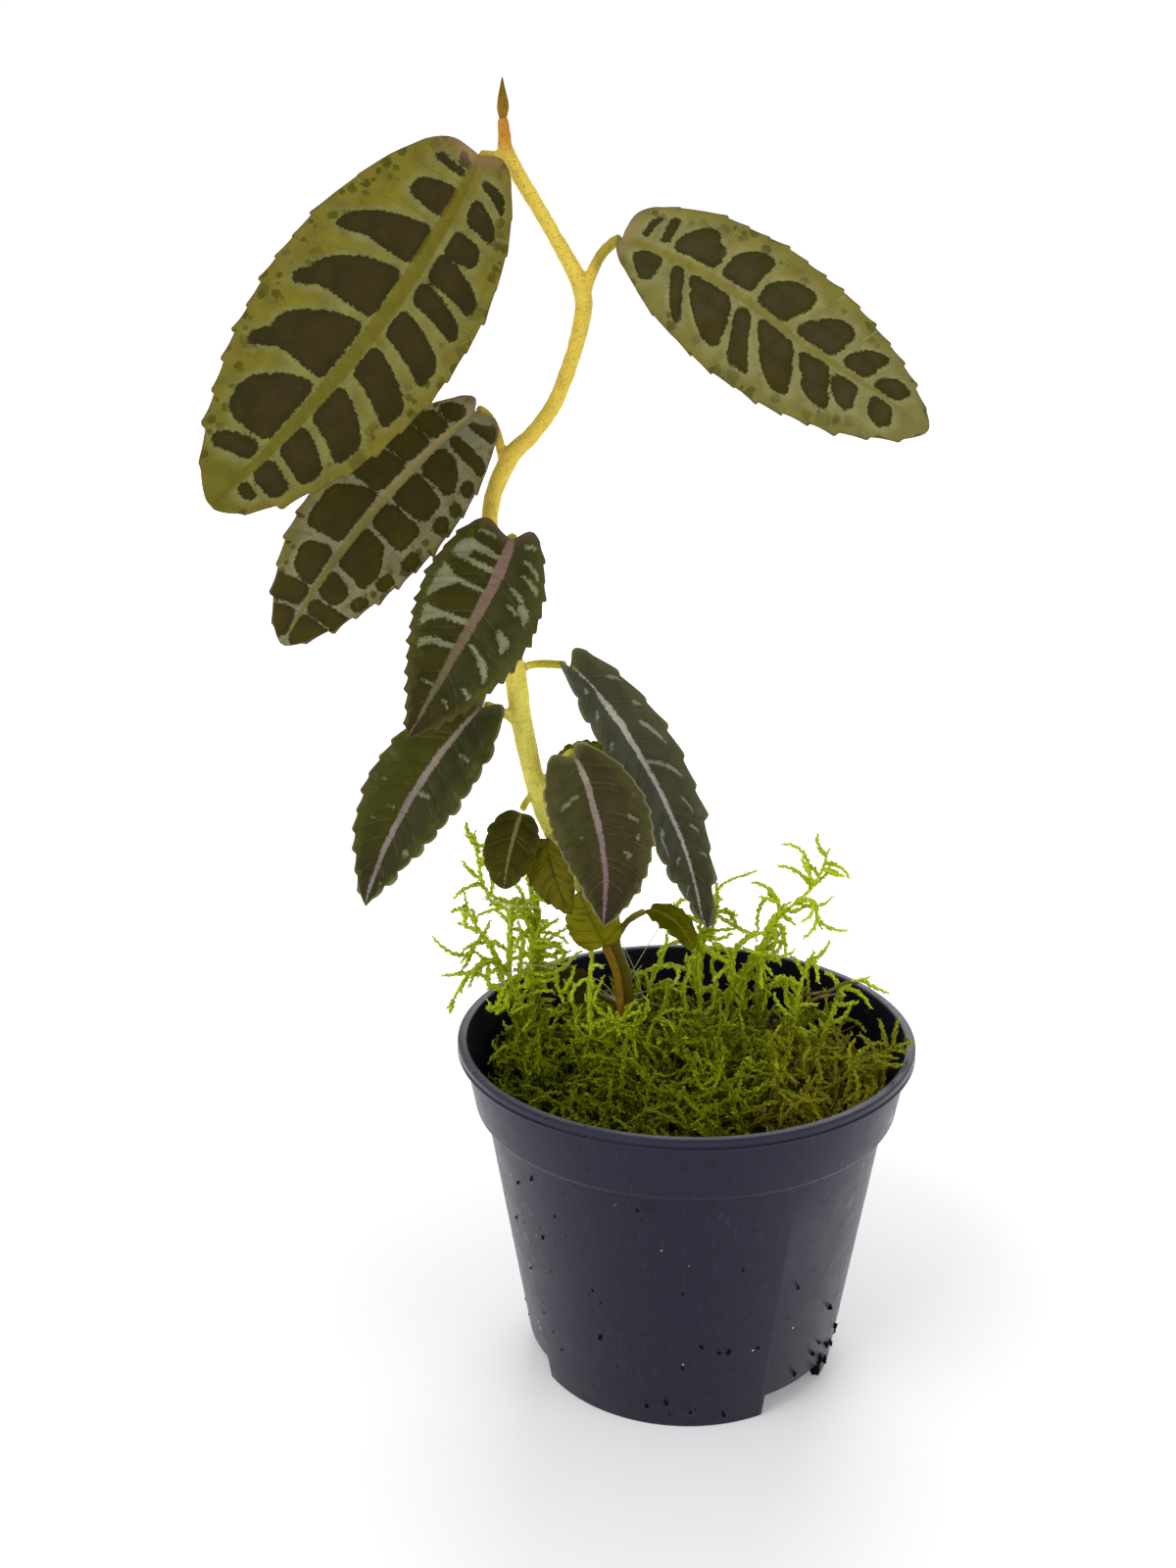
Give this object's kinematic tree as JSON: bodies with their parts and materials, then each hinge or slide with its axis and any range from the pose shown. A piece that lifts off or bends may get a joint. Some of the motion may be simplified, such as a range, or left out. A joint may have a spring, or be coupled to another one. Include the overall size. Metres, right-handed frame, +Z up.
{
  "type": "potted labisia",
  "caption": "Young shoot of a patterned-leaf labisia, standing in potting mix and live moss in a round tapered nursery pot with gates in its foot.",
  "frame": {"origin": "centre of the pot's flat underside pad, where the pot stands", "axes": "+Z up along the pot's axis; -Y is the front, towards which most blades look; +X is to the right of someone facing the front"},
  "size_m": [0.1268, 0.09, 0.2441],
  "materials": {
    "pot_plastic": "satin blue-black polypropylene",
    "potting_mix": "damp dark brown fibrous mix",
    "stem": "yellow to yellow-green, dotted with fine brown scurf",
    "old_petiole": "orange-brown",
    "bud": "olive-brown",
    "leaf_olive": "satin olive with dark brown patches between the side veins",
    "leaf_green": "satin dark green with silver dashes and a mauve midrib",
    "leaf_young": "thin olive-brown",
    "moss": "bright yellow-green",
    "moss_litter": "dry brown-green"
  },
  "bodies": {
    "root": {"pot": "pot_plastic", "potting_mix": "potting_mix", "stem": "stem", "basal_petiole": "old_petiole", "end_bud": "bud", "leaf_top_left": "leaf_olive", "leaf_top_right": "leaf_olive", "leaf_upper_left": "leaf_olive", "leaf_middle": "leaf_green", "leaf_lower_right": "leaf_green", "leaf_lower_left": "leaf_green", "leaf_front": "leaf_green", "leaf_behind": "leaf_green", "leaf_small_left": "leaf_young", "leaf_small_middle": "leaf_young", "leaf_basal_left": "leaf_young", "leaf_basal_right": "leaf_young", "leaf_old_low": "leaf_young", "moss_spray_left": "moss", "moss_spray_right": "moss", "moss_cushion": "moss", "moss_cushion_back": "moss", "moss_litter": "moss_litter"}
  },
  "joints": []
}
